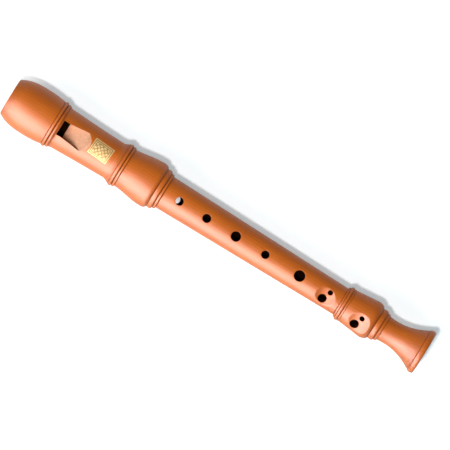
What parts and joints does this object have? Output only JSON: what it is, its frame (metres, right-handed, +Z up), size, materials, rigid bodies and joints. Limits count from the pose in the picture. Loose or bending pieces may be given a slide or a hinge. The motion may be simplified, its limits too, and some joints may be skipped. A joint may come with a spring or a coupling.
{
  "type": "recorder",
  "caption": "Turned wooden soprano recorder whose head, middle and foot joints turn and pull apart on cork-lapped tenons, with a fipple block that pushes out of the beak.",
  "frame": {"origin": "on the surface the recorder lies on, under the middle of its length", "axes": "+X along the bore from the beak to the bell, +Z up through the window and the finger holes, with the recorder lying on its back"},
  "size_m": [0.325, 0.0348, 0.0344],
  "materials": {
    "pearwood": "stained, satin",
    "cedar": "bare, planed",
    "cork": "sanded, greased"
  },
  "bodies": {
    "middle": {"middle_joint": "pearwood"},
    "upper_cork": {"upper_tenon_cork": "cork"},
    "head": {"head_joint": "pearwood"},
    "block": {"block": "cedar"},
    "lower_cork": {"lower_tenon_cork": "cork"},
    "foot": {"foot_joint": "pearwood"}
  },
  "joints": [
    {"name": "head_turn", "type": "hinge", "parent": "middle", "child": "upper_cork", "pos_m": [-0.041, 0, 0.017], "axis": [1, 0, 0], "continuous": true},
    {"name": "head_pull", "type": "slide", "parent": "upper_cork", "child": "head", "axis": [-1, 0, 0], "range_m": [0, 0.026]},
    {"name": "block_push", "type": "slide", "parent": "head", "child": "block", "axis": [-1, 0, 0], "range_m": [0, 0.041]},
    {"name": "foot_turn", "type": "hinge", "parent": "middle", "child": "lower_cork", "pos_m": [0.097, 0, 0.017], "axis": [1, 0, 0], "continuous": true},
    {"name": "foot_pull", "type": "slide", "parent": "lower_cork", "child": "foot", "axis": [1, 0, 0], "range_m": [0, 0.012]}
  ]
}
